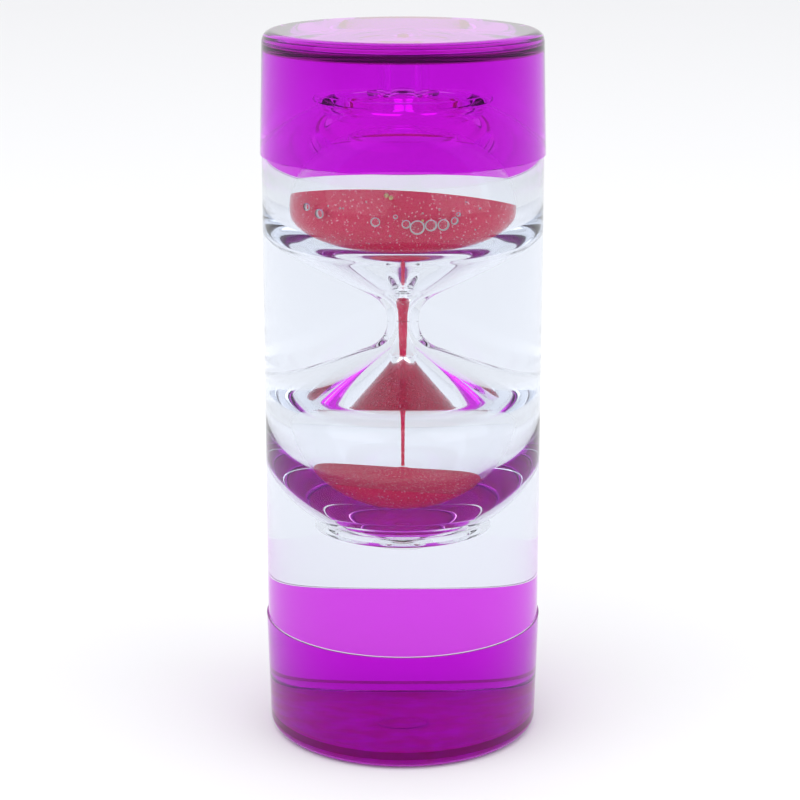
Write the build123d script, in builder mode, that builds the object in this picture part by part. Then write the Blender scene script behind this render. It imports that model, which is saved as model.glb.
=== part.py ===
from build123d import *
import math
import os

# Liquid motion timer: a sealed tube of oil, in which a closed hourglass of air and sand floats.
# Lengths are in millimetres. The foot stands on z = 0 and the tube runs up along +Z.

os.makedirs("parts", exist_ok=True)

# Tube and caps
tube_radius = 26.0
tube_wall = 2.5
timer_height = 134.0
cap_height = 22.4
cap_floor = 3.5
cap_skirt_wall = 1.3
cap_lip_stand = 0.3
cap_draft = 0.25
cap_edge_radius = 2.0
cement_gap = 0.05
lead_in_width = 0.6
lead_in_height = 1.2
tube_end_chamfer = 0.3
overrun = 1.0

# Filling hole and its plug in the foot
fill_hole_radius = 2.5
fill_head_radius = 3.6
fill_head_height = 1.2
fill_head_recess = 0.2
fill_edge = 0.2

# Hourglass
side_clearance = 1.3
bulb_wall = 1.3
funnel_slope = 30.0
funnel_side_share = 0.4
neck_radius = 2.2
neck_fillet_radius = 5.6
waist_rise = 0.4
mouth_radius = 10.4
spigot_wall = 0.6
spigot_length = 2.0

# Lids and plugs
lid_wall = 0.8
lid_overlap = 1.1
lid_bead_radius = 0.9
lid_ring_wall = 1.0
plug_stem_radius = 3.6
plug_head_overhang = 0.8
plug_head_height = 1.4
plug_head_edge = 0.4
plug_hold_length = 1.6
plug_wall = 1.2
plug_tip_chamfer = 0.5
plug_seat_width = 1.3
end_clearance = 0.3
upper_plug_stand = 5.5

# Sand
sand_gap = 0.1
upper_fill_share = 1.0
upper_sand_lean = (-18.0, 3.5, 0)
crater_depth = 2.6
crater_radius = 9.0
crater_floor_radius = 0.6
lower_sand_depth = 9.0
lower_sand_lean = (-13.5, 5.0, 0)
heap_height = 2.2
heap_radius = 7.5
heap_tip_radius = 0.6
stream_low_radius = 0.35
stream_taper_length = 9.0

# Values that follow from the sizes above
bore_radius = tube_radius - tube_wall
skirt_bore_radius = tube_radius - cap_skirt_wall
rebate_radius = skirt_bore_radius - cement_gap
cap_foot_radius = tube_radius - cap_draft
cap_lip_radius = tube_radius + cap_lip_stand
inner_top = timer_height - cap_floor
fill_head_depth = fill_head_recess + fill_head_height
bulb_radius = bore_radius - side_clearance
funnel_side_radius = bulb_radius * funnel_side_share
side_centre = bulb_radius - funnel_side_radius
fillet_reach = neck_radius + neck_fillet_radius
funnel_sweep = 90 - funnel_slope
slope = math.radians(funnel_slope)
funnel_rounding = funnel_side_radius + neck_fillet_radius
funnel_reach = side_centre - fillet_reach + funnel_rounding * math.sin(slope)
shoulder_height = waist_rise + funnel_rounding * math.cos(slope) + funnel_reach * math.tan(slope)
neck_bore_radius = neck_radius - bulb_wall
spigot_radius = neck_bore_radius + spigot_wall
dome_bore_radius = bulb_radius - bulb_wall
lid_crown = shoulder_height + dome_bore_radius + lid_wall
lid_radius = mouth_radius + lid_overlap
lid_mouth_radius = mouth_radius - cement_gap
mouth_height = shoulder_height + math.sqrt(bulb_radius**2 - mouth_radius**2)
lid_ring_radius = lid_mouth_radius - lid_ring_wall
ring_low_height = shoulder_height + math.sqrt(dome_bore_radius**2 - lid_ring_radius**2)
ring_height = mouth_height + lid_wall / 2 - ring_low_height
plug_hole_radius = plug_stem_radius + cement_gap
plug_head_radius = plug_stem_radius + plug_head_overhang
plug_bore_radius = plug_stem_radius - plug_wall
plug_stem_length = upper_plug_stand + plug_hold_length
mid_height = inner_top - end_clearance - plug_head_height - upper_plug_stand - lid_crown
upper_sand_level = mid_height + shoulder_height * upper_fill_share
lower_sand_level = mid_height - lid_crown + lower_sand_depth
stream_length = mid_height - lower_sand_level - heap_height - sand_gap


def at_angle(centre_r, centre_h, radius, angle):
    """Point on a circle in the half-section, as radius from the axis and height from the waist."""
    turn = math.radians(angle)
    return (centre_r + radius * math.cos(turn), centre_h + radius * math.sin(turn))


def bulb_curve(inset, top_r):
    """Half-section of a bulb from the waist to the radius top_r on its dome, moved inwards by inset."""
    flare = (fillet_reach, waist_rise, neck_fillet_radius + inset)
    side = (side_centre, shoulder_height, funnel_side_radius - inset)
    dome = (0, shoulder_height, bulb_radius - inset)
    dome_sweep = math.degrees(math.acos(top_r / (bulb_radius - inset)))
    flare_start = at_angle(*flare, 180)
    flare_end = at_angle(*flare, 180 - funnel_sweep)
    side_start = at_angle(*side, -funnel_sweep)
    dome_start = at_angle(*dome, 0)
    dome_end = at_angle(*dome, dome_sweep)
    Line((neck_radius - inset, 0), flare_start)
    ThreePointArc(flare_start, at_angle(*flare, 180 - funnel_sweep / 2), flare_end)
    Line(flare_end, side_start)
    ThreePointArc(side_start, at_angle(*side, -funnel_sweep / 2), dome_start)
    ThreePointArc(dome_start, at_angle(*dome, dome_sweep / 2), dome_end)
    return dome_end


def bulb_section(plane):
    """Wall of one bulb, from the waist to the mouth in its dome."""
    with BuildSketch(plane) as section:
        with BuildLine():
            outer_edge = bulb_curve(0, mouth_radius)
            inner_edge = bulb_curve(bulb_wall, mouth_radius)
            Line(outer_edge, inner_edge)
            Line((neck_radius, 0), (neck_bore_radius, 0))
        make_face()
    return section.sketch.faces()


def cavity_section(plane):
    """Room for sand inside one bulb, a small gap inside its wall."""
    with BuildSketch(plane) as section:
        with BuildLine():
            top = bulb_curve(bulb_wall + sand_gap, mouth_radius)
            Polyline(top, (0, top[1]), (0, 0), (neck_bore_radius - sand_gap, 0))
        make_face()
    return section.sketch.faces()


def domed_band(radius, low_r, high_r):
    """Outline of a domed band one lid thick, from the radius low_r to high_r, its underside at radius."""
    for height, ends in ((radius, (low_r, high_r)), (radius + lid_wall, (high_r, low_r))):
        arc = (0, shoulder_height, height)
        start, end = (math.degrees(math.acos(r / height)) for r in ends)
        ThreePointArc(at_angle(*arc, start), at_angle(*arc, (start + end) / 2), at_angle(*arc, end))
    for r in (low_r, high_r):
        steps = [shoulder_height + math.sqrt(height**2 - r**2) for height in (radius, radius + lid_wall)]
        Line(*((r, step) for step in steps))


def lid_section(plane):
    """Lid sunk in the mouth: a disc flush inside, a ring up its edge, a flange with a rolled rim, a plug seat."""
    disc = (dome_bore_radius, plug_hole_radius, lid_mouth_radius)
    flange = (bulb_radius + cement_gap, lid_ring_radius, lid_radius)
    rim_lift = math.sqrt((bulb_radius + lid_bead_radius) ** 2 - lid_radius**2)
    with BuildSketch(plane) as section:
        for band in (disc, flange):
            with BuildLine():
                domed_band(*band)
            make_face()
        with Locations((lid_radius, shoulder_height + rim_lift)):
            Circle(lid_bead_radius - cement_gap)
        with Locations((lid_ring_radius, ring_low_height)):
            Rectangle(lid_ring_wall, ring_height, align=(Align.MIN, Align.MIN))
        with Locations((plug_hole_radius, lid_crown)):
            Rectangle(plug_seat_width, lid_wall, align=(Align.MIN, Align.MAX))
    return section.sketch.faces()


def plug_section(plane, stand):
    """Button plug: a round-edged head on a hollow stem, the head standing off its seat by stand."""
    seat = (0, lid_crown + stand)
    with BuildSketch(plane) as section:
        with Locations(seat):
            Rectangle(plug_head_radius, plug_head_height, align=(Align.MIN, Align.MIN))
        fillet(section.vertices().group_by(Axis.X)[-1], plug_head_edge)
        with Locations(seat):
            Rectangle(plug_stem_radius, plug_stem_length, align=(Align.MIN, Align.MAX))
        chamfer(section.vertices().group_by(Axis.Y)[0].sort_by(Axis.X)[-1], plug_tip_chamfer)
        with Locations(seat):
            Rectangle(plug_bore_radius, plug_stem_length, align=(Align.MIN, Align.MAX), mode=Mode.SUBTRACT)
    return section.sketch.faces()


def cap_section(plane):
    """Cup with a drafted skirt, a round closed edge and a lead-in at its mouth."""
    with BuildSketch(plane) as section:
        with BuildLine():
            Polyline(
                (0, 0),
                (cap_foot_radius, 0),
                (cap_lip_radius, cap_height),
                (skirt_bore_radius + lead_in_width, cap_height),
                (skirt_bore_radius, cap_height - lead_in_height),
                (skirt_bore_radius, cap_floor),
                (0, cap_floor),
                close=True,
            )
        make_face()
        fillet(section.vertices().sort_by_distance((cap_foot_radius, 0))[0], cap_edge_radius)
    return section.sketch.faces()


def heap_section(plane):
    """Room for sand in the dome of a bulb, under its lid and round its plug."""
    wall = (0, shoulder_height, dome_bore_radius - sand_gap)
    stem_outer = plug_stem_radius + sand_gap
    stem_end = lid_crown - plug_stem_length - sand_gap
    crown_sweep = math.degrees(math.acos(stem_outer / wall[2]))
    with BuildSketch(plane) as section:
        with BuildLine():
            dome_start = at_angle(*wall, 0)
            dome_end = at_angle(*wall, crown_sweep)
            ThreePointArc(dome_start, at_angle(*wall, crown_sweep / 2), dome_end)
            Polyline(dome_end, (stem_outer, stem_end), (0, stem_end), (0, shoulder_height), dome_start)
        make_face()
    return section.sketch.faces()


# The half-sections are drawn from the foot up, from the top down and from the waist both ways.
foot_plane = Plane.XZ
top_plane = Plane(origin=(0, 0, timer_height), x_dir=(1, 0, 0), z_dir=(0, 1, 0))
upper_plane = Plane(origin=(0, 0, mid_height), x_dir=(1, 0, 0), z_dir=(0, -1, 0))
lower_plane = Plane(origin=(0, 0, mid_height), x_dir=(1, 0, 0), z_dir=(0, 1, 0))

# Clear tube, its ends turned down to enter the caps
with BuildPart() as tube:
    with BuildSketch(foot_plane):
        with Locations((bore_radius, cap_floor)):
            Rectangle(rebate_radius - bore_radius, inner_top - cap_floor, align=(Align.MIN, Align.MIN))
        with Locations((bore_radius, cap_height)):
            Rectangle(tube_wall, timer_height - 2 * cap_height, align=(Align.MIN, Align.MIN))
    revolve(axis=Axis.Z)
    rings = tube.edges().filter_by(GeomType.CIRCLE).group_by(Axis.Z)
    end_edges = [ring.sort_by(SortBy.RADIUS)[-1] for ring in (rings[0], rings[-1])]
    chamfer(end_edges, tube_end_chamfer)

# Caps, the lower one with a stepped filling hole in its floor
with BuildPart() as top_cap:
    revolve(cap_section(top_plane), axis=Axis.Z)

with BuildPart() as bottom_cap:
    revolve(cap_section(foot_plane), axis=Axis.Z)
    with BuildSketch():
        Circle(fill_hole_radius)
    extrude(amount=cap_floor + overrun, mode=Mode.SUBTRACT)
    with BuildSketch():
        Circle(fill_head_radius)
    extrude(amount=fill_head_depth, mode=Mode.SUBTRACT)

with BuildPart() as fill_plug:
    with BuildSketch(Plane.XY.offset(fill_head_recess)):
        Circle(fill_head_radius - cement_gap)
    extrude(amount=fill_head_height)
    with BuildSketch(Plane.XY.offset(fill_head_depth)):
        Circle(fill_hole_radius - cement_gap)
    extrude(amount=cap_floor - fill_head_depth)
    fillet(fill_plug.faces().sort_by(Axis.Z)[0].edges(), fill_edge)

# Bulbs, joined at the waist by a spigot in a socket
with BuildPart() as upper_bulb:
    revolve(bulb_section(upper_plane), axis=Axis.Z)
    with BuildSketch(Plane.XY.offset(mid_height)):
        Circle(spigot_radius)
        Circle(neck_bore_radius, mode=Mode.SUBTRACT)
    extrude(amount=-spigot_length)

with BuildPart() as lower_bulb:
    revolve(bulb_section(lower_plane), axis=Axis.Z)
    with BuildSketch(Plane.XY.offset(mid_height)):
        Circle(spigot_radius + cement_gap)
    extrude(amount=-(spigot_length + cement_gap), mode=Mode.SUBTRACT)

# Lids and their plugs, the upper plug standing proud and the lower one pressed home
with BuildPart() as upper_lid:
    revolve(lid_section(upper_plane), axis=Axis.Z)

with BuildPart() as lower_lid:
    revolve(lid_section(lower_plane), axis=Axis.Z)

with BuildPart() as upper_plug:
    revolve(plug_section(upper_plane, upper_plug_stand), axis=Axis.Z)

with BuildPart() as lower_plug:
    revolve(plug_section(lower_plane, 0), axis=Axis.Z)

# Sand: a leaning level with a crater above, a leaning heap below and the thread that falls between them
upper_surface = Plane(origin=(0, 0, upper_sand_level)).rotated(upper_sand_lean)
lower_surface = Plane(origin=(0, 0, lower_sand_level)).rotated(lower_sand_lean)

with BuildPart() as upper_sand:
    revolve(cavity_section(upper_plane), axis=Axis.Z)
    split(bisect_by=upper_surface, keep=Keep.BOTTOM)
    with Locations(upper_surface):
        Cone(
            bottom_radius=crater_floor_radius,
            top_radius=crater_radius,
            height=crater_depth,
            align=(Align.CENTER, Align.CENTER, Align.MAX),
            mode=Mode.SUBTRACT,
        )

with BuildPart() as lower_sand:
    revolve(heap_section(lower_plane), axis=Axis.Z)
    split(bisect_by=lower_surface, keep=Keep.BOTTOM)
    with Locations(lower_surface):
        Cone(
            bottom_radius=heap_radius,
            top_radius=heap_tip_radius,
            height=heap_height,
            align=(Align.CENTER, Align.CENTER, Align.MIN),
        )

with BuildPart() as sand_stream:
    with BuildSketch(lower_plane):
        with BuildLine():
            Polyline(
                (0, 0),
                (neck_bore_radius - sand_gap, 0),
                (stream_low_radius, stream_taper_length),
                (stream_low_radius, stream_length),
                (0, stream_length),
                close=True,
            )
        make_face()
    revolve(axis=Axis.Z)

pieces = {
    "tube": tube,
    "top_cap": top_cap,
    "bottom_cap": bottom_cap,
    "fill_plug": fill_plug,
    "upper_bulb": upper_bulb,
    "lower_bulb": lower_bulb,
    "upper_lid": upper_lid,
    "lower_lid": lower_lid,
    "upper_plug": upper_plug,
    "lower_plug": lower_plug,
    "upper_sand": upper_sand,
    "lower_sand": lower_sand,
    "sand_stream": sand_stream,
}
for name, piece in pieces.items():
    piece.part.label = name
    export_step(piece.part, f"parts/{name}.step")
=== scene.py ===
"""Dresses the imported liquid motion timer: clear tube, purple caps, floating hourglass, sand and bubbles.

Every see-through piece is a closed turned shell. Its faces fall into groups by what they meet: air, oil, or
another piece that they are cemented to. Each group's material has the index of refraction of that one
boundary, so light bends as it does in a full tube, although the liquid has no mesh of its own. Lengths are in
metres.
"""

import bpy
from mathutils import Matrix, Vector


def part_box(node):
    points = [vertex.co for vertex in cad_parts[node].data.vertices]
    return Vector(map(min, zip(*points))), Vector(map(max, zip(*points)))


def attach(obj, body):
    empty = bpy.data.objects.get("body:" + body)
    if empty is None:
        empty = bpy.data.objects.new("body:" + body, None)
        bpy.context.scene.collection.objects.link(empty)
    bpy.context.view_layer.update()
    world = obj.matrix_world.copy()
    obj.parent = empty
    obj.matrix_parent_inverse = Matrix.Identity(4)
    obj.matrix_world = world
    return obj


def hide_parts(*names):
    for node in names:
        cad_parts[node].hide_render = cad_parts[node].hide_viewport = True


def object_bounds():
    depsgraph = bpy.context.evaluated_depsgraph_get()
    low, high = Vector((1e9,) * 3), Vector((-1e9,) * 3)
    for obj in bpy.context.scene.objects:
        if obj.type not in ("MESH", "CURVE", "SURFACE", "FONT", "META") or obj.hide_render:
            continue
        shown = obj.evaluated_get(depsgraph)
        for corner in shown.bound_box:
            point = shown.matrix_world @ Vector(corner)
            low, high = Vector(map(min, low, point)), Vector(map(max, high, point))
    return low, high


bl_info = {
    "name": "Liquid motion timer",
    "version": (1, 0, 0),
    "blender": (4, 5, 0),
    "location": "3D View > Sidebar > Timer",
    "description": "Dresses the packed liquid motion timer and sets up its studio",
    "category": "Add Mesh",
}

import math

import bpy
import numpy as np
from bpy.props import FloatProperty, FloatVectorProperty, IntProperty, PointerProperty
from bpy.types import Operator, Panel, PropertyGroup
from mathutils import Vector

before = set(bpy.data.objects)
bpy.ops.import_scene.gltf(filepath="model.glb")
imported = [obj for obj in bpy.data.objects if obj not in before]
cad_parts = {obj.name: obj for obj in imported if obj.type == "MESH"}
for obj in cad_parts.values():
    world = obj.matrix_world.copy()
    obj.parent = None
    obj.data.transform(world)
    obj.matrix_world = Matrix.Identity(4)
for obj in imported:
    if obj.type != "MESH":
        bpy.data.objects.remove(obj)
cad_box = [list(corner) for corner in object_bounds()]

MM = 0.001
TUBE_LOW, TUBE_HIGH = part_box("tube")
FILL_LOW, FILL_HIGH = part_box("fill_plug")
CAP_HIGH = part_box("bottom_cap")[1]
BULB_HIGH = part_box("lower_bulb")[1]
TOP_PLUG_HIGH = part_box("upper_plug")[1]
LOW_PLUG_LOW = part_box("lower_plug")[0]
STREAM_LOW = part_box("sand_stream")[0]

# Groups of faces, by what they meet. EDGE is the side of a cap's flat end.
AIR, OIL, BONDED, FOOT, EDGE = range(5)

# Gap left between two pieces that touch, so that their faces don't coincide
TOUCH = 0.03 * MM

# Points closer than this are one point
SAME_POINT = 1e-9
SHARP_ANGLE = math.radians(30)

# Index of a boundary inside cement, which bends light by nothing that shows
BONDED_INDEX = 1.0001


def length(name, text, value):
    """A size in metres, for a property group."""
    return FloatProperty(name=name, description=text, default=value, unit="LENGTH", precision=5)


def angle(name, text, degrees):
    """An angle, given in degrees and kept in radians, for a property group."""
    return FloatProperty(name=name, description=text, default=math.radians(degrees), subtype="ANGLE")


def colour(name, text, value):
    """A colour, for a property group."""
    return FloatVectorProperty(name=name, description=text, default=value, subtype="COLOR", size=3,
                               min=0, max=1)


def number(name, text, value, top=1.0):
    """A plain number, for a property group."""
    return FloatProperty(name=name, description=text, default=value, min=0, max=top, precision=4)


def lean(name, text, value):
    """Rise of a surface along X and along Y, for a property group."""
    return FloatVectorProperty(name=name, description=text, default=value, size=2, precision=4)


class TimerVesselSizes(PropertyGroup):
    """Sizes of the tube, the caps and the filling hole"""
    tube_radius: length("Tube radius", "Outer radius of the tube", TUBE_HIGH.x)
    tube_wall: length("Tube wall", "Thickness of the tube's wall", 2.5 * MM)
    height: length("Height", "Height of the whole timer", cad_box[1][2])
    cap_height: length("Cap height", "Height of one cap", CAP_HIGH.z)
    cap_floor: length("Cap floor", "Thickness of a cap's flat end", TUBE_LOW.z)
    cap_skirt: length("Cap skirt", "Thickness of a cap's skirt where the tube enters", 1.3 * MM)
    cap_draft: length("Cap draft", "How much narrower than the tube a cap's end is", 0.25 * MM)
    cap_edge: length("Cap edge", "Radius of a cap's rounded edge", 2.0 * MM)
    foot_inset: length("Foot inset", "Distance from a cap's rounded edge in to its rough foot", 0.5 * MM)
    dry_joint: length("Dry joint", "Width of the rim's joint that the cement doesn't reach", 0.5 * MM)
    fill_radius: length("Filling hole", "Radius of the filling hole", 2.5 * MM)
    fill_head_depth: length("Filling hole step", "Depth of the filling hole's wide part", 1.4 * MM)
    fill_edge: length("Filling plug edge", "Chamfer round the filling plug's head", 0.2 * MM)


class TimerHourglassSizes(PropertyGroup):
    """Sizes of the bulbs, the lids and their plugs"""
    waist: length("Waist height", "Height of the neck's joint", BULB_HIGH.z)
    bulb_radius: length("Bulb radius", "Outer radius of a bulb", BULB_HIGH.x)
    bulb_wall: length("Bulb wall", "Thickness of a bulb's wall", 1.3 * MM)
    funnel_slope: angle("Funnel slope", "Slope of the funnel's straight part", 30)
    funnel_side: number("Funnel side", "Radius of the funnel's side as a share of the bulb's radius", 0.4)
    waist_rise: length("Waist rise", "Height of the neck's straight part above the waist", 0.4 * MM)
    neck_radius: length("Neck radius", "Outer radius of the neck", 2.2 * MM)
    neck_fillet: length("Neck fillet", "Radius where the neck flares into the funnel", 5.6 * MM)
    mouth_radius: length("Mouth radius", "Radius of the hole in a bulb's dome", 10.4 * MM)
    lid_wall: length("Lid wall", "Thickness of a lid", 0.8 * MM)
    lid_radius: length("Lid radius", "Radius at which a lid's rim sits", 11.5 * MM)
    bead_radius: length("Rim bead", "Radius of a lid's rolled rim", 0.9 * MM)
    ring_wall: length("Ring wall", "Thickness of the ring up a lid's edge", 1.0 * MM)
    seat_width: length("Seat width", "Width of the flat seat round a lid's hole", 1.3 * MM)
    stem_radius: length("Stem radius", "Radius of a plug's stem", 3.6 * MM)
    head_radius: length("Head radius", "Radius of a plug's head", 4.4 * MM)
    head_height: length("Head height", "Height of a plug's head", 1.4 * MM)
    head_edge: length("Head edge", "Radius of a plug head's edges", 0.4 * MM)
    stem_length: length("Stem length", "Length of a plug's stem", 7.1 * MM)
    plug_wall: length("Plug wall", "Thickness of a plug's stem", 1.2 * MM)


class TimerSandSizes(PropertyGroup):
    """Sizes of the sand above, the sand below and the thread between them"""
    gap: length("Sand gap", "Gap between the sand and the wall it lies on", 0.06 * MM)
    grain: length("Grain", "Unevenness of the sand's top", 0.06 * MM)
    upper_level: length("Upper level", "Height of the upper sand's surface at the axis", 101.6 * MM)
    upper_slope: lean("Upper slope", "Rise of the upper surface along X and Y", (-0.0612, -0.3249))
    crater_depth: length("Crater depth", "Depth of the crater in the upper sand", 2.6 * MM)
    crater_radius: length("Crater radius", "Radius of the crater in the upper sand", 9.0 * MM)
    lower_level: length("Lower level", "Height of the lower sand's surface at the axis", 48.28 * MM)
    lower_slope: lean("Lower slope", "Rise of the lower surface along X and Y", (-0.0875, -0.24))
    heap_height: length("Heap height", "Height of the heap where the sand lands", 2.2 * MM)
    heap_radius: length("Heap radius", "Radius of that heap", 7.5 * MM)
    heap_tip: length("Heap tip", "Radius of the heap's blunt top", 0.9 * MM)
    stream_radius: length("Stream radius", "Radius of the falling thread of sand", 0.32 * MM)


class TimerFinish(PropertyGroup):
    """Colours, indices of refraction and fineness"""
    plastic_index: number("Plastic index", "Index of refraction of the clear plastic", 1.49, 3)
    oil_index: number("Oil index", "Index of refraction of the liquid", 1.333, 3)
    tube: colour("Tube plastic", "Tint of the tube", (0.875, 0.895, 0.93))
    clear: colour("Hourglass plastic", "Tint of the hourglass", (0.97, 0.975, 0.985))
    purple: colour("Purple plastic", "Tint of a cap's skirt", (0.55, 0.003, 0.68))
    purple_end: colour("Purple end", "Tint of a cap's inner floor", (1.0, 0.2, 0.92))
    purple_mirror: colour("Purple mirror", "Tint of what a cap's outside mirrors", (0.75, 0.12, 0.85))
    top_mirror: colour("Top mirror", "Tint of what the top face mirrors", (0.85, 0.7, 0.87))
    clear_mirror: colour("Tube mirror", "Tint of what the tube's outside mirrors", (0.4, 0.4, 0.42))
    edge: colour("Edge", "Tint of a flat end's side, seen along its width", (0.17, 0.002, 0.11))
    foot: colour("Foot", "Colour of the end that stands on the table", (1.0, 0.01, 1.0))
    sand: colour("Sand", "Colour of most grains", (1.0, 0.006, 0.09))
    glint: colour("Glint", "Colour of the brightest grains", (1.0, 0.42, 0.55))
    gold: colour("Gold", "Brightest colour of a gold speck", (0.95, 0.75, 0.42))
    dull_gold: colour("Dull gold", "Dullest colour of a gold speck", (0.62, 0.42, 0.16))
    floor: colour("Floor", "Colour of the floor", (0.86, 0.86, 0.86))
    segments: IntProperty(name="Segments", description="Sides of a turned piece", default=192,
                          min=24, max=512)


def trace(*runs):
    """Joins runs of (radius, height) points end to end into one outline.

    A run is its points and its group. The face that leads to a point takes that point's group, so a run that
    starts where the last one ended drops its first point, and any other run is reached by a face of its own
    group.
    """
    points, groups = [], []
    for run, group in runs:
        run = np.asarray(run, float).reshape(-1, 2)
        if points and np.allclose(points[-1][-1], run[0], atol=SAME_POINT):
            run = run[1:]
        points.append(run)
        groups.append(np.full(len(run), group))
    return np.concatenate(points), np.concatenate(groups)


def arc(centre, radius, start, end, count=24):
    """Points of a circle: centre plus radius times (cosine, sine) of evenly spaced angles in degrees."""
    turn = np.radians(np.linspace(start, end, count))
    return np.stack([centre[0] + radius * np.cos(turn), centre[1] + radius * np.sin(turn)], axis=1)


def facing_out(points, groups):
    """Turns an outline anticlockwise, by the sign of its shoelace area, so that its faces point outwards."""
    r, h = points.T
    area = np.sum(r * np.roll(h, -1) - np.roll(r, -1) * h)
    if area >= 0:
        return points, groups
    return points[::-1], np.roll(groups[::-1], 1)


def new_mesh(name, vertices, faces, slots, materials):
    """Mesh of vertices and faces, each face smooth and with its material's number."""
    mesh = bpy.data.meshes.new(name)
    mesh.from_pydata(vertices.tolist(), [], faces)
    for material in materials:
        mesh.materials.append(material)
    mesh.polygons.foreach_set("material_index", slots.astype(np.int32))
    mesh.polygons.foreach_set("use_smooth", np.ones(len(faces), dtype=bool))
    mesh.update()
    return mesh


def grid_mesh(name, grid, groups, materials, looped=False):
    """Mesh of a grid of points, rows by columns, closed round its columns.

    Face (i, j) joins rows i and i + 1 and columns j and j + 1. A row whose points all fall together is one
    vertex, which closes a pole with triangles. With looped, the last row joins the first.
    """
    rows, columns = grid.shape[:2]
    pole = np.ptp(grid, axis=1).max(axis=1) < SAME_POINT
    sizes = np.where(pole, 1, columns)
    base = np.concatenate([[0], np.cumsum(sizes)[:-1]])
    index = base[:, None] + np.where(pole[:, None], 0, np.arange(columns)[None, :])
    vertices = np.concatenate([grid[i, : sizes[i]] for i in range(rows)])
    low = np.arange(rows if looped else rows - 1)
    high = (low + 1) % rows
    a, b = index[low], index[high]
    quads = np.stack([a, np.roll(a, -1, axis=1), np.roll(b, -1, axis=1), b], axis=-1)
    group = np.repeat(groups[high][:, None], columns, axis=1)
    low_pole, high_pole = pole[low], pole[high]
    plain = ~(low_pole | high_pole)
    faces = quads[plain].reshape(-1, 4).tolist()
    slots = [group[plain].ravel()]
    for chosen, corners in ((low_pole & ~high_pole, (0, 2, 3)), (~low_pole & high_pole, (0, 1, 2))):
        faces += quads[chosen][..., corners].reshape(-1, 3).tolist()
        slots.append(group[chosen].ravel())
    mesh = new_mesh(name, vertices, faces, np.concatenate(slots), materials)
    mesh.set_sharp_from_angle(angle=SHARP_ANGLE)
    return mesh


def turned(name, outline, materials, segments, looped=False):
    """Mesh of an outline turned about the tube's axis: x and y are the radius times cosine and sine."""
    points, groups = facing_out(*outline)
    way = np.linspace(0, 2 * np.pi, segments, endpoint=False)
    r, h = points[:, 0, None], points[:, 1, None]
    height = np.broadcast_to(h, (len(points), segments))
    grid = np.stack([r * np.cos(way), r * np.sin(way), height], axis=-1)
    return grid_mesh(name, grid, groups, materials, looped)


def add_piece(name, mesh, body, slot, *nodes):
    """Links a piece, lets it ride on its body and stand for the solids named."""
    piece = bpy.data.objects.new(name, mesh)
    bpy.context.scene.collection.objects.link(piece)
    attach(piece, body)
    if nodes:
        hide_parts(*nodes)
    return piece


def new_material(name):
    """A node material, its tree and its Principled shader."""
    material = bpy.data.materials.new(name)
    material.use_nodes = True
    return material, material.node_tree, material.node_tree.nodes["Principled BSDF"]


def noise_value(tree, scale, detail, roughness=0.5, offset=(0, 0, 0)):
    """Noise on object coordinates. Returns its value socket."""
    nodes, links = tree.nodes, tree.links
    place = nodes.new("ShaderNodeTexCoord")
    mapping = nodes.new("ShaderNodeMapping")
    mapping.inputs["Location"].default_value = offset
    noise = nodes.new("ShaderNodeTexNoise")
    noise.inputs["Scale"].default_value = scale
    noise.inputs["Detail"].default_value = detail
    noise.inputs["Roughness"].default_value = roughness
    links.new(place.outputs["Object"], mapping.inputs["Vector"])
    links.new(mapping.outputs["Vector"], noise.inputs["Vector"])
    return noise.outputs["Fac"]


def remap(tree, value, low, high, to_low=0.0, to_high=1.0):
    """Value taken from one range to another, clamped."""
    node = tree.nodes.new("ShaderNodeMapRange")
    for socket, end in zip(("From Min", "From Max", "To Min", "To Max"), (low, high, to_low, to_high)):
        node.inputs[socket].default_value = end
    tree.links.new(value, node.inputs["Value"])
    return node.outputs["Result"]


def mix_colours(tree, amount, first, second):
    """Mix of two colours by a value socket. Either may be a socket itself."""
    node = tree.nodes.new("ShaderNodeMix")
    node.data_type = "RGBA"
    tree.links.new(amount, node.inputs["Factor"])
    for socket, value in (("A", first), ("B", second)):
        target = next(s for s in node.inputs if s.name == socket and s.type == "RGBA")
        if isinstance(value, bpy.types.NodeSocket):
            tree.links.new(value, target)
        else:
            target.default_value = (*value, 1)
    return next(s for s in node.outputs if s.type == "RGBA")


def bump(tree, shader, height, strength, distance):
    """Bump from a value socket into a shader's normal."""
    node = tree.nodes.new("ShaderNodeBump")
    node.inputs["Strength"].default_value = strength
    node.inputs["Distance"].default_value = distance
    tree.links.new(height, node.inputs["Height"])
    tree.links.new(node.outputs["Normal"], shader.inputs["Normal"])


def clear_shader(name, index, rough=0.0, mirror=(1, 1, 1), clearness=1.0):
    """A see-through material with no colour yet: index, roughness, tint of its mirror image, clear share."""
    material, tree, shader = new_material(name)
    shader.inputs["Transmission Weight"].default_value = clearness
    shader.inputs["IOR"].default_value = index
    shader.inputs["Roughness"].default_value = rough
    shader.inputs["Specular Tint"].default_value = (*mirror, 1)
    return material, tree, shader


def clear_material(name, index, tint, **finish):
    """See-through plastic at one boundary, its tint a little paler in soft patches."""
    material, tree, shader = clear_shader(name, index, **finish)
    patches = remap(tree, noise_value(tree, scale=35, detail=2), 0.3, 0.7)
    paler = tuple(min(1.0, 1.015 * share) for share in tint)
    tree.links.new(mix_colours(tree, patches, tint, paler), shader.inputs["Base Color"])
    return material


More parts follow.
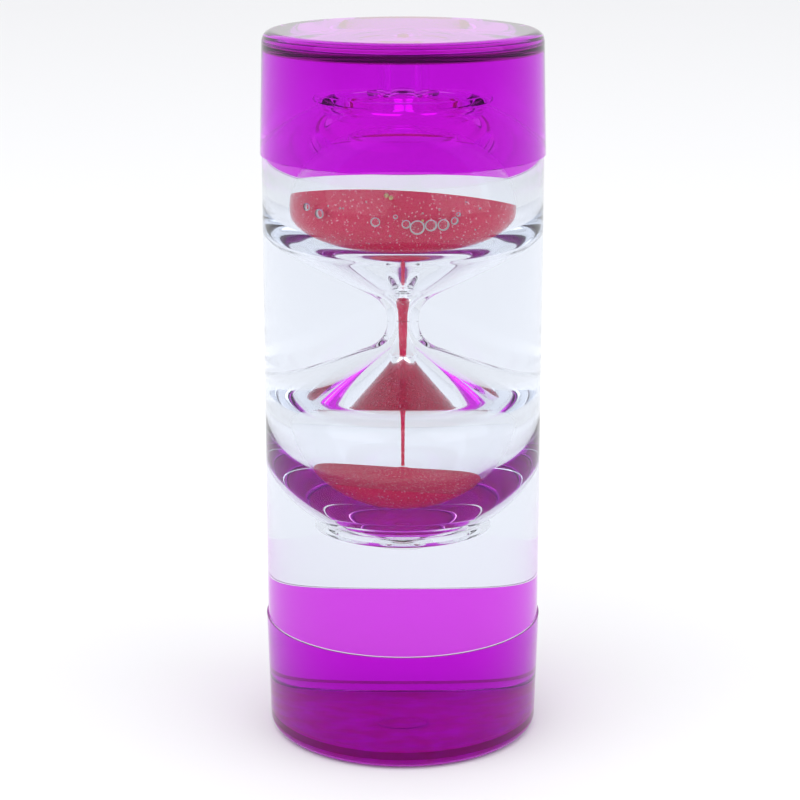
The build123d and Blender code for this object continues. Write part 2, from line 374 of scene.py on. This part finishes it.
def foot_material(finish):
    """A cap's flat end on the table: rough, with a mottled skin that is part see-through and part dyed."""
    material, tree, shader = clear_shader("purple_plastic_on_table", finish.plastic_index, rough=0.35)
    tint = tuple(finish.foot)
    redder = (0.85 * tint[0], tint[1], 0.45 * tint[2])
    patches = noise_value(tree, scale=210, detail=4, roughness=0.6, offset=(0.3, 0.1, 0))
    shade = mix_colours(tree, remap(tree, patches, 0.35, 0.65), tint, redder)
    mottle = noise_value(tree, scale=230, detail=6, roughness=0.68)
    tree.links.new(shade, shader.inputs["Base Color"])
    tree.links.new(remap(tree, mottle, 0.38, 0.66, to_high=0.12), shader.inputs["Transmission Weight"])
    bump(tree, shader, mottle, strength=0.7, distance=0.4 * MM)
    return material


def plastic_set(name, finish, tint, oil_tint=None, mirror=(1, 1, 1)):
    """Materials of one plastic for faces on air, on oil and on a cemented neighbour, in the groups' order.

    A cemented face has no tint of its own, so a joint between two pieces of one plastic can't be seen.
    """
    return [
        clear_material(f"{name}_on_air", finish.plastic_index, tuple(tint), mirror=tuple(mirror)),
        clear_material(f"{name}_on_oil", finish.plastic_index / finish.oil_index, tuple(oil_tint or tint)),
        clear_material(f"{name}_cemented", BONDED_INDEX, (1, 1, 1)),
    ]


def sand_material(finish):
    """Dyed sand: cells of slightly different shade, a few of them bright, over a fine grain bump."""
    material, tree, shader = new_material("dyed_sand")
    nodes, links = tree.nodes, tree.links
    place = nodes.new("ShaderNodeTexCoord")
    cells = nodes.new("ShaderNodeTexVoronoi")
    cells.inputs["Scale"].default_value = 4600
    links.new(place.outputs["Object"], cells.inputs["Vector"])
    pick = nodes.new("ShaderNodeSeparateColor")
    links.new(cells.outputs["Color"], pick.inputs["Color"])
    red, green, blue = finish.sand
    darker = tuple(0.9 * share for share in (red, green, blue))
    lighter = (min(1.0, 1.1 * red), 2 * green + 0.01, 1.6 * blue)
    shade = mix_colours(tree, pick.outputs["Red"], darker, lighter)
    glints = remap(tree, pick.outputs["Green"], 0.95, 0.97)
    links.new(mix_colours(tree, glints, shade, tuple(finish.glint)), shader.inputs["Base Color"])
    links.new(remap(tree, pick.outputs["Blue"], 0, 1, 0.35, 0.8), shader.inputs["Roughness"])
    links.new(glints, shader.inputs["Metallic"])
    shader.inputs["Specular IOR Level"].default_value = 0.1
    bump(tree, shader, cells.outputs["Distance"], strength=0.6, distance=0.15 * MM)
    return material


def gold_material(finish):
    """Gold speck: two shades in small patches."""
    material, tree, shader = new_material("gold_speck")
    patches = remap(tree, noise_value(tree, scale=2500, detail=2), 0.3, 0.7)
    shade = mix_colours(tree, patches, tuple(finish.dull_gold), tuple(finish.gold))
    tree.links.new(shade, shader.inputs["Base Color"])
    shader.inputs["Roughness"].default_value = 0.45
    return material


def shoulder_height(sizes):
    """Height of a bulb's widest circle: straight waist, flare, cone and side arc, meeting smoothly."""
    slope = sizes.funnel_slope
    side = sizes.bulb_radius * sizes.funnel_side
    rounding = side + sizes.neck_fillet
    reach = sizes.bulb_radius - side - sizes.neck_radius - sizes.neck_fillet + rounding * math.sin(slope)
    return sizes.waist_rise + rounding * math.cos(slope) + reach * math.tan(slope)


def bulb_curve(sizes, inset, top_radius):
    """Half-section of a bulb from the waist to a radius on its dome, moved inwards by inset.

    The flare and the side are circles joined by a straight cone, and the dome is a sphere.
    """
    shoulder = shoulder_height(sizes)
    sweep = 90 - math.degrees(sizes.funnel_slope)
    side = sizes.bulb_radius * sizes.funnel_side
    dome_radius = sizes.bulb_radius - inset
    flare_centre = (sizes.neck_radius + sizes.neck_fillet, sizes.waist_rise)
    flare = arc(flare_centre, sizes.neck_fillet + inset, 180, 180 - sweep)
    side_arc = arc((sizes.bulb_radius - side, shoulder), side - inset, -sweep, 0)
    cone = flare[-1] + np.linspace(0, 1, 24)[1:-1, None] * (side_arc[0] - flare[-1])
    dome = arc((0, shoulder), dome_radius, 0, math.degrees(math.acos(top_radius / dome_radius)), 40)[1:]
    return np.concatenate([flare, cone, side_arc, dome])


def placed(outline, waist, side):
    """Outline measured from the waist, set at its height: side is 1 for the upper half, -1 for the lower."""
    points, groups = outline
    return np.stack([points[:, 0], waist + side * points[:, 1]], axis=1), groups


def bulb_outline(sizes):
    """Wall of one bulb: oil outside, air inside, cemented at the waist and at the mouth's edge."""
    outer = bulb_curve(sizes, 0, sizes.mouth_radius)
    inner = bulb_curve(sizes, sizes.bulb_wall, sizes.mouth_radius)[::-1]
    return trace(
        ([(sizes.neck_radius, TOUCH)], BONDED),
        (outer, OIL),
        ([inner[0]], BONDED),
        (inner, AIR),
        ([(sizes.neck_radius - sizes.bulb_wall, TOUCH)], AIR),
    )


def lid_outline(sizes):
    """Lid sunk in the mouth: disc flush inside, ring up its edge, flange, rolled rim, plug seat and hole.

    Every surface but the rim and the seat is a sphere about the middle of the bulb's dome.
    """
    centre = (0, shoulder_height(sizes))
    inside = sizes.bulb_radius - sizes.bulb_wall
    disc_top, under = inside + sizes.lid_wall, sizes.bulb_radius + TOUCH
    over = under + sizes.lid_wall
    hole = sizes.stem_radius + TOUCH
    mouth = sizes.mouth_radius - TOUCH
    ring = mouth - sizes.ring_wall

    def turn(radius, distance):
        return math.degrees(math.acos(distance / radius))

    def point(radius, degrees):
        return arc(centre, radius, degrees, degrees, 1)[0]

    seat_top = centre[1] + disc_top
    seat_edge = hole + sizes.seat_width
    bead = sizes.bead_radius - TOUCH
    far = sizes.bulb_radius + sizes.bead_radius
    rim = turn(far, sizes.lid_radius)
    bead_centre = point(far, rim)
    meet = math.degrees(math.acos((over**2 - far**2 - bead**2) / (2 * far * bead)))
    over_rim = arc(bead_centre, bead, rim + meet, rim + meet, 1)[0] - centre
    over_start = math.degrees(math.atan2(over_rim[1], over_rim[0]))
    return trace(
        (arc(centre, inside, turn(inside, hole), turn(inside, mouth), 32), AIR),
        ([point(under, turn(under, mouth))], BONDED),
        (arc(centre, under, turn(under, mouth), rim, 6), BONDED),
        (arc(bead_centre, bead, rim - 180, rim + meet, 28), OIL),
        (arc(centre, over, over_start, turn(over, ring), 12), OIL),
        (arc(centre, disc_top, turn(disc_top, ring), turn(disc_top, seat_edge), 24), OIL),
        ([(seat_edge, seat_top), (hole, seat_top)], OIL),
        ([point(inside, turn(inside, hole))], BONDED),
    )


def lid_crown(sizes):
    """Height of a lid's outer middle above the waist."""
    return shoulder_height(sizes) + sizes.bulb_radius - sizes.bulb_wall + sizes.lid_wall


def plug_outline(sizes, stand):
    """Button plug: round-edged head, stem bare for its stand, cemented in the lid, then in the bulb's air."""
    seat = lid_crown(sizes) + stand + TOUCH
    top, edge, head = seat + sizes.head_height, sizes.head_edge, sizes.head_radius
    stem, bore = sizes.stem_radius, sizes.stem_radius - sizes.plug_wall
    lid_top, lid_under = seat - stand - TOUCH, seat - stand - sizes.lid_wall
    tip = seat - sizes.stem_length
    return trace(
        ([(0, top), (head - edge, top)], OIL),
        (arc((head - edge, top - edge), edge, 90, 0, 8), OIL),
        (arc((head - edge, seat + edge), edge, 0, -90, 8), OIL),
        ([(stem, seat)], OIL if stand > TOUCH else BONDED),
        ([(stem, lid_top)], OIL),
        ([(stem, lid_under)], BONDED),
        ([(stem, tip + edge), (stem - edge, tip), (bore, tip), (bore, seat), (0, seat)], AIR),
    )


def tube_outline(sizes):
    """Tube wall: oil inside, air outside between the caps, cemented where its turned-down ends enter them."""
    outside = sizes.tube_radius
    bore, dry = outside - sizes.tube_wall, outside - sizes.dry_joint
    rebate = outside - sizes.cap_skirt - 2 * TOUCH
    low, high = sizes.cap_floor + TOUCH, sizes.height - sizes.cap_floor - TOUCH
    step_low, step_high = sizes.cap_height + TOUCH, sizes.height - sizes.cap_height - TOUCH
    return trace(
        ([(bore, low)], BONDED),
        ([(bore, high)], OIL),
        ([(rebate, high), (rebate, step_high), (dry, step_high)], BONDED),
        ([(outside, step_high), (outside, step_low), (dry, step_low)], AIR),
        ([(rebate, step_low), (rebate, low)], BONDED),
    )


def cap_outline(sizes, hole):
    """Cup: rounded closed end and drafted skirt, its mouth filled with clear cement up to the tube.

    The closed end is seen along its width, so its side looks darker than the skirt and is a group of its own.
    With a hole, the floor has the stepped filling hole at its middle, filled by its cemented plug.
    """
    end_radius = sizes.tube_radius - sizes.cap_draft
    lip = CAP_HIGH.x
    slant = (lip - end_radius) / (sizes.cap_height - sizes.cap_edge)
    skirt_bore = sizes.tube_radius - sizes.cap_skirt
    bore, dry = sizes.tube_radius - sizes.tube_wall, sizes.tube_radius - sizes.dry_joint
    edge, floor, rim = sizes.cap_edge, sizes.cap_floor, sizes.cap_height
    wide, step = FILL_HIGH.x + TOUCH, sizes.fill_head_depth
    middle = [(wide, step), (wide, 0)] if hole else [(0, 0)]
    closing = [(sizes.fill_radius, floor)] if hole else [(0, floor)]
    runs = [
        (middle, BONDED),
        ([(end_radius - edge - sizes.foot_inset, 0)], FOOT),
        (arc((end_radius - edge, edge), edge, -90, 0, 16), AIR),
        ([(end_radius + slant * (floor - edge), floor)], EDGE),
        ([(lip, rim), (dry, rim)], AIR),
        ([(skirt_bore, rim), (skirt_bore, floor), (bore, floor)], BONDED),
        (closing, OIL),
    ]
    if hole:
        runs.append(([(sizes.fill_radius, step)], BONDED))
    return trace(*runs)


def fill_plug_outline(sizes):
    """Stepped plug of the filling hole: table side, cemented sides and oil side."""
    wide, narrow = FILL_HIGH.x - TOUCH, sizes.fill_radius - 2 * TOUCH
    low, edge, step = FILL_LOW.z, sizes.fill_edge, sizes.fill_head_depth - TOUCH
    return trace(
        ([(0, low), (wide - edge, low), (wide, low + edge)], FOOT),
        ([(wide, step), (narrow, step), (narrow, sizes.cap_floor)], BONDED),
        ([(0, sizes.cap_floor)], OIL),
    )


def wall_radius(curve, height):
    """Radius of an inner wall at each height, read along its curve."""
    order = np.argsort(curve[:, 1])
    return np.interp(height, curve[order, 1], curve[order, 0])


def grain_height(x, y, height):
    """Unevenness of loose sand: height times (product of two fine sines + 1.5 times a broader sine)."""
    fine = np.sin(2300 * x + 1.3) * np.sin(2100 * y + 0.4)
    broad = np.sin(900 * x - 700 * y)
    return height * (fine + 1.5 * broad)


def sand_grid(curve, floor, level, slopes, rise, grain, segments):
    """Sand that lies in a bowl: grid of its floor, the wall it touches and its leaning top.

    Along each direction the top meets the wall where height = level + slope along that direction times
    radius, found by putting the height back in a number of times. Wall rows share that height out evenly. The
    top is the leaning plane plus rise(distance) and fine grain, which fades at the wall and at the axis.
    """
    rows, rings, rounds, fade = 48, 40, 30, 8
    way = np.linspace(0, 2 * np.pi, segments, endpoint=False)
    slope = slopes[0] * np.cos(way) + slopes[1] * np.sin(way)
    start = floor[-1]
    meet = np.full(segments, level)
    for _ in range(rounds):
        meet = level + slope * wall_radius(curve, meet)
    meet_radius = wall_radius(curve, meet)
    up = np.linspace(0, 1, rows)[1:, None]
    wall_height = start[1] + up * (meet - start[1])
    wall = wall_radius(curve, wall_height)
    out = np.linspace(1, 0, rings)[1:, None]
    distance = out * meet_radius
    top = level + slope * distance + rise(distance)
    x, y = distance * np.cos(way), distance * np.sin(way)
    top = top + grain_height(x, y, grain) * np.minimum(1, (1 - out) * fade) * np.minimum(1, out * fade)
    radius = np.concatenate([np.repeat(floor[:, :1], segments, axis=1), wall, distance])
    height = np.concatenate([np.repeat(floor[:, 1:], segments, axis=1), wall_height, top])
    height[-1] = height[-1].mean()
    return np.stack([radius * np.cos(way), radius * np.sin(way), height], axis=-1)


def upper_sand_grid(glass, sand, segments):
    """Sand in the upper funnel, from the neck up, with a cone-shaped crater in its top."""
    inset = glass.bulb_wall + sand.gap
    funnel = bulb_curve(glass, inset, glass.mouth_radius) + (0, glass.waist)
    bottom = glass.waist + TOUCH
    floor = np.array([(0, bottom), (glass.neck_radius - inset, bottom), funnel[0]])

    def crater(distance):
        return -sand.crater_depth * np.clip(1 - distance / sand.crater_radius, 0, 1)

    return sand_grid(funnel, floor, sand.upper_level, sand.upper_slope, crater, sand.grain, segments)


def lower_sand_grid(glass, sand, segments):
    """Sand in the lower dome, round the plug's stem, with a blunt cone where the thread lands."""
    wall = glass.bulb_radius - glass.bulb_wall - sand.gap
    stem = glass.stem_radius + sand.gap
    tip = glass.waist - (lid_crown(glass) - glass.stem_length - sand.gap)
    dome = arc((0, shoulder_height(glass)), wall, math.degrees(math.acos(stem / wall)), 0, 72)
    dome = dome * (1, -1) + (0, glass.waist)
    floor = np.concatenate([[(0, tip), (stem, tip)], dome[:1]])

    def heap(distance):
        rounded = np.sqrt(distance**2 + sand.heap_tip**2)
        return sand.heap_height * np.clip(1 - rounded / sand.heap_radius, 0, 1)

    return sand_grid(dome, floor, sand.lower_level, sand.lower_slope, heap, sand.grain, segments)


def stream_outline(glass, sand):
    """Falling thread: as wide as the neck's bore at its top, then narrowing to the thread's own radius.

    The part above that radius fades as exp(-(narrowing times drop) to the power 1.5), and a ripple of a few
    percent runs down it.
    """
    narrowing, steepness, ripples, ripple_share = 3.6, 1.5, 97, 0.06
    bore = glass.neck_radius - glass.bulb_wall - sand.gap
    top, low = glass.waist - TOUCH, STREAM_LOW.z
    drop = np.linspace(0, 1, 60)
    height = top + (low - top) * drop
    width = sand.stream_radius + (bore - sand.stream_radius) * np.exp(-((narrowing * drop) ** steepness))
    width = width * (1 + ripple_share * np.sin(drop * ripples) * np.minimum(1, drop * 6))
    return trace(([(0, top)], 0), (np.stack([width, height], axis=1), 0), ([(0, low)], 0))


def ball(columns=32, rows=16):
    """Unit ball: vertices on rows of equal angle from pole to pole, its quads and its triangles, outwards."""
    turn = np.linspace(0, np.pi, rows + 1)[1:-1, None]
    way = np.linspace(0, 2 * np.pi, columns, endpoint=False)
    sides = np.broadcast_arrays(np.sin(turn) * np.cos(way), np.sin(turn) * np.sin(way), np.cos(turn))
    rings = np.stack(sides, axis=-1).reshape(-1, 3)
    vertices = np.concatenate([[(0, 0, 1)], rings, [(0, 0, -1)]])
    index = 1 + np.arange(len(rings)).reshape(rows - 1, columns)
    after = np.roll(index, -1, axis=1)
    quads = np.stack([index[:-1], index[1:], after[1:], after[:-1]], axis=-1).reshape(-1, 4)
    top = np.stack([np.zeros(columns, int), index[0], after[0]], axis=-1)
    last = np.stack([index[-1], np.full(columns, len(vertices) - 1), after[-1]], axis=-1)
    return vertices, quads, np.concatenate([top, last])


def balls_mesh(name, places, materials, skins):
    """Mesh of flattened balls in the gap round a bulb.

    A place is across, up, out, half-width and half-depth: the ball's middle lies out from the axis, turned by
    asin(across / out), and its depth is measured along that direction, where the ball's own coordinate is
    raised to the power 0.6 to make it blunt. A skin is how much larger than the ball a surface is, whether it
    faces inwards, its material's number and that of its rim, where that coordinate is under a half.
    """
    bluntness, rim_share = 0.6, 0.5
    unit, *shapes = ball()
    across, up, out, wide, deep = np.array(places).T[..., None]
    cosine, sine = np.cos(np.arcsin(across / out)), across / out
    blunt = np.sign(unit[:, 1]) * np.abs(unit[:, 1]) ** bluntness
    vertices, faces, slots = [], [], []
    for number, (extra, inwards, slot, rim_slot) in enumerate(skins):
        aside, away = unit[:, 0] * (wide + extra), out - blunt * (deep + extra)
        place = [aside * cosine + away * sine, aside * sine - away * cosine, unit[:, 2] * (wide + extra) + up]
        vertices.append(np.stack(place, axis=-1).reshape(-1, 3))
        first = (number * len(places) + np.arange(len(places))) * len(unit)
        for corners in shapes:
            each = corners[:, ::-1] if inwards else corners
            faces += (first[:, None, None] + each).reshape(-1, corners.shape[1]).tolist()
            rim = np.abs(unit[corners, 1]).mean(axis=1) < rim_share
            slots.append(np.tile(np.where(rim, rim_slot, slot), len(places)))
    return new_mesh(name, np.concatenate(vertices), faces, np.concatenate(slots), materials)


# Bubbles and specks in front of the upper sand: across, up and radius, in millimetres
BUBBLES = (
    (-16.2, 104.4, 0.72), (-14.1, 103.5, 0.88), (-4.7, 102.8, 0.85), (-1.3, 103.8, 0.42), (0.5, 102.5, 0.78),
    (2.4, 101.9, 1.3), (4.7, 102.2, 1.05), (6.8, 102.2, 1.05), (8.7, 102.8, 0.7), (9.35, 103.9, 0.42),
    (-12.6, 105.1, 0.16), (-10.6, 104.9, 0.2), (-10.1, 104.9, 0.18), (-6.2, 106.3, 0.16), (3.3, 104.4, 0.18),
    (6.1, 105.0, 0.2), (10.6, 106.0, 0.16), (12.9, 104.6, 0.18), (-2.2, 100.4, 0.2), (12.2, 100.9, 0.16),
)
SPECKS = ((-2.8, 107.6, 0.42), (-2.05, 107.2, 0.4), (3.3, 103.1, 0.2))
BUBBLE_DEPTH = 0.42 * MM
BUBBLE_SKIN = 0.02 * MM

# Name, place, width and power of each lamp. All look at the timer's middle.
LAMPS = (
    ("lamp_left", (-0.75, -0.75, 0.9), 1.69, 9.0),
    ("lamp_right", (0.9, -0.5, 0.7), 1.26, 5.0),
)
FLOOR_HALF_WIDTH = 2.0
FLOOR_DROP = 0.1 * MM
ROOM_COLOUR = (0.97, 0.975, 1)
CAMERA_PLACE = (-0.544 * MM, -419.3 * MM, 176.3 * MM)
CAMERA_PITCH = 0.261
CAMERA_LENS = 103.13


def add_floor(finish):
    """Plain square floor, just under the foot."""
    half, low = FLOOR_HALF_WIDTH, -FLOOR_DROP
    mesh = bpy.data.meshes.new("studio_floor")
    corners = [(-half, -half, low), (half, -half, low), (half, half, low), (-half, half, low)]
    mesh.from_pydata(corners, [], [(0, 1, 2, 3)])
    material, _, shader = new_material("studio_floor")
    shader.inputs["Base Color"].default_value = (*finish.floor, 1)
    shader.inputs["Roughness"].default_value = 0.9
    mesh.materials.append(material)
    floor = bpy.data.objects.new("studio_floor", mesh)
    bpy.context.scene.collection.objects.link(floor)


def set_world(scene):
    """Soft light from all round, white where the camera, a mirror or a see-through piece sees it."""
    world = bpy.data.worlds.new("studio")
    scene.world = world
    world.use_nodes = True
    nodes, links = world.node_tree.nodes, world.node_tree.links
    light = nodes["Background"]
    light.inputs["Color"].default_value = (*ROOM_COLOUR, 1)
    white = nodes.new("ShaderNodeBackground")
    white.inputs["Color"].default_value = (1, 1, 1, 1)
    path = nodes.new("ShaderNodeLightPath")
    seen = path.outputs["Is Camera Ray"]
    for name in ("Is Glossy Ray", "Is Transmission Ray"):
        either = nodes.new("ShaderNodeMath")
        either.operation = "MAXIMUM"
        links.new(seen, either.inputs[0])
        links.new(path.outputs[name], either.inputs[1])
        seen = either.outputs[0]
    mix = nodes.new("ShaderNodeMixShader")
    links.new(seen, mix.inputs[0])
    links.new(light.outputs[0], mix.inputs[1])
    links.new(white.outputs[0], mix.inputs[2])
    links.new(mix.outputs[0], nodes["World Output"].inputs["Surface"])


def add_lamps(scene, target):
    """Wide square lamps that look at the target."""
    for name, place, size, power in LAMPS:
        lamp = bpy.data.lights.new(name, "AREA")
        lamp.size = size
        lamp.energy = power
        holder = bpy.data.objects.new(name, lamp)
        scene.collection.objects.link(holder)
        holder.location = place
        holder.rotation_mode = "QUATERNION"
        holder.rotation_quaternion = (target - Vector(place)).to_track_quat("-Z", "Y")


def add_camera(scene):
    """Camera at the photograph's viewing angle."""
    camera = bpy.data.cameras.new("camera")
    camera.lens = CAMERA_LENS
    camera.clip_start = 10 * MM
    holder = bpy.data.objects.new("camera", camera)
    holder.location = CAMERA_PLACE
    holder.rotation_euler = (math.pi / 2 - CAMERA_PITCH, 0, 0)
    scene.collection.objects.link(holder)
    scene.camera = holder


class TimerStep(Operator):
    """Shared settings of the timer's operators"""
    bl_options = {"REGISTER", "UNDO"}


class TIMER_OT_tube(TimerStep):
    """Add the clear tube"""
    bl_idname = "timer.tube"
    bl_label = "Tube"

    def execute(self, context):
        scene = context.scene
        finish = scene.timer_finish
        materials = plastic_set("tube_plastic", finish, finish.tube, mirror=finish.clear_mirror)
        mesh = turned("tube_wall", tube_outline(scene.timer_vessel), materials, finish.segments, True)
        add_piece("tube_wall", mesh, "vessel", "tube_acrylic", "tube")
        return {"FINISHED"}


class TIMER_OT_caps(TimerStep):
    """Add both purple caps and the plug of the filling hole"""
    bl_idname = "timer.caps"
    bl_label = "Caps"

    def execute(self, context):
        scene = context.scene
        sizes, finish = scene.timer_vessel, scene.timer_finish
        segments, mirror = finish.segments, tuple(finish.purple_mirror)
        inner = plastic_set("purple_plastic", finish, finish.purple, finish.purple_end, mirror)
        top_face = clear_material("purple_plastic_top_face", finish.plastic_index, tuple(finish.purple),
                                  mirror=tuple(finish.top_mirror))
        side = clear_material("purple_plastic_side", finish.plastic_index, tuple(finish.edge), mirror=mirror)
        foot = foot_material(finish)

        points, groups = cap_outline(sizes, False)
        over = np.stack([points[:, 0], sizes.height - points[:, 1]], axis=1)
        mesh = turned("top_cap_cup", (over, groups), [*inner, top_face, side], segments)
        add_piece("top_cap_cup", mesh, "vessel", "purple_acrylic", "top_cap")
        mesh = turned("bottom_cap_cup", cap_outline(sizes, True), [*inner, foot, side], segments, True)
        add_piece("bottom_cap_cup", mesh, "vessel", "purple_acrylic", "bottom_cap")
        mesh = turned("filling_plug", fill_plug_outline(sizes), [*inner, foot], segments // 3)
        add_piece("filling_plug", mesh, "vessel", "purple_acrylic", "fill_plug")
        return {"FINISHED"}


class TIMER_OT_hourglass(TimerStep):
    """Add both bulbs, their lids and their plugs"""
    bl_idname = "timer.hourglass"
    bl_label = "Hourglass"

    def execute(self, context):
        scene = context.scene
        sizes, finish = scene.timer_hourglass, scene.timer_finish
        materials = plastic_set("hourglass_plastic", finish, finish.clear)
        pressed_home = lid_crown(sizes) + sizes.head_height
        upper_stand = TOP_PLUG_HIGH.z - sizes.waist - pressed_home
        lower_stand = sizes.waist - LOW_PLUG_LOW.z - pressed_home
        for name, side, stand in (("upper", 1, upper_stand), ("lower", -1, lower_stand)):
            outlines = {
                "bulb": (bulb_outline(sizes), True),
                "lid": (lid_outline(sizes), True),
                "plug": (plug_outline(sizes, max(0.0, round(stand, 6))), False),
            }
            for piece, (outline, looped) in outlines.items():
                shell = f"{name}_{piece}_shell"
                mesh = turned(shell, placed(outline, sizes.waist, side), materials, finish.segments, looped)
                add_piece(shell, mesh, "hourglass", "hourglass_plastic", f"{name}_{piece}")
        return {"FINISHED"}


class TIMER_OT_sand(TimerStep):
    """Add the sand above and below and the thread that falls between them"""
    bl_idname = "timer.sand"
    bl_label = "Sand"

    def execute(self, context):
        scene = context.scene
        glass, sand, segments = scene.timer_hourglass, scene.timer_sand, scene.timer_finish.segments
        materials = [sand_material(scene.timer_finish)]
        beds = (
            ("upper_sand_bed", upper_sand_grid(glass, sand, segments), "upper_sand"),
            ("lower_sand_heap", lower_sand_grid(glass, sand, segments), "lower_sand"),
        )
        for name, grid, node in beds:
            mesh = grid_mesh(name, grid, np.zeros(len(grid), int), materials)
            add_piece(name, mesh, "hourglass", "sand", node)
        mesh = turned("falling_sand", stream_outline(glass, sand), materials, segments // 6)
        add_piece("falling_sand", mesh, "hourglass", "sand", "sand_stream")
        return {"FINISHED"}


class TIMER_OT_bubbles(TimerStep):
    """Add the gas bubbles and the gold specks that cling to the upper bulb in the oil"""
    bl_idname = "timer.bubbles"
    bl_label = "Bubbles and specks"

    def execute(self, context):
        finish = context.scene.timer_finish
        middle = (BULB_HIGH.x + TUBE_HIGH.x - context.scene.timer_vessel.tube_wall) / 2

        def places(table):
            return [(x * MM, z * MM, middle, size * MM, min(size * MM, BUBBLE_DEPTH)) for x, z, size in table]

        materials = [
            clear_material("bubble_outside", BONDED_INDEX, (1, 1, 1)),
            clear_material("bubble_inside", finish.oil_index, (1, 1, 1)),
            # Milky white on the rim of each bubble's inner skin: a painted highlight standing in for the
            # bright ring that total internal reflection gives at a bubble's edge
            clear_material("bubble_rim_painted_highlight", finish.oil_index, (1, 1, 1), rough=0.25, clearness=0.35),
        ]
        skins = ((BUBBLE_SKIN, False, 0, 0), (0, True, 1, 2))
        mesh = balls_mesh("oil_bubbles", places(BUBBLES), materials, skins)
        add_piece("oil_bubbles", mesh, "hourglass", "hourglass_plastic")
        mesh = balls_mesh("gold_specks", places(SPECKS), [gold_material(finish)], ((0, False, 0, 0),))
        add_piece("gold_specks", mesh, "hourglass", "sand")
        return {"FINISHED"}


class TIMER_OT_stage(TimerStep):
    """Set up the floor, the lamps, the world and the camera"""
    bl_idname = "timer.stage"
    bl_label = "Studio"

    def execute(self, context):
        scene = context.scene
        add_floor(scene.timer_finish)
        set_world(scene)
        add_lamps(scene, Vector((0, 0, scene.timer_vessel.height / 2)))
        add_camera(scene)
        scene.view_settings.view_transform = "Standard"
        scene.cycles.max_bounces = 32
        scene.cycles.transmission_bounces = 32
        scene.cycles.glossy_bounces = 8
        return {"FINISHED"}


class TIMER_PT_panel(Panel):
    """Sizes, colours and steps of the liquid motion timer"""
    bl_label = "Liquid motion timer"
    bl_space_type = "VIEW_3D"
    bl_region_type = "UI"
    bl_category = "Timer"

    def draw(self, context):
        for step in STEPS:
            self.layout.operator(step.bl_idname)
        for name in GROUPS:
            group = getattr(context.scene, name)
            box = self.layout.box()
            for key in group.bl_rna.properties.keys():
                if key not in ("rna_type", "name"):
                    box.prop(group, key)


STEPS = (TIMER_OT_stage, TIMER_OT_tube, TIMER_OT_caps, TIMER_OT_hourglass, TIMER_OT_sand, TIMER_OT_bubbles)
GROUPS = {
    "timer_vessel": TimerVesselSizes,
    "timer_hourglass": TimerHourglassSizes,
    "timer_sand": TimerSandSizes,
    "timer_finish": TimerFinish,
}


def register():
    for group in GROUPS.values():
        bpy.utils.register_class(group)
    for name, group in GROUPS.items():
        setattr(bpy.types.Scene, name, PointerProperty(type=group))
    for step in STEPS:
        bpy.utils.register_class(step)
    bpy.utils.register_class(TIMER_PT_panel)


def unregister():
    bpy.utils.unregister_class(TIMER_PT_panel)
    for step in reversed(STEPS):
        bpy.utils.unregister_class(step)
    for name, group in GROUPS.items():
        delattr(bpy.types.Scene, name)
        bpy.utils.unregister_class(group)


def main():
    """Registers the add-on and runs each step."""
    register()
    bpy.ops.timer.stage()
    bpy.ops.timer.tube()
    bpy.ops.timer.caps()
    bpy.ops.timer.hourglass()
    bpy.ops.timer.sand()
    bpy.ops.timer.bubbles()


if __name__ == "__main__":
    main()
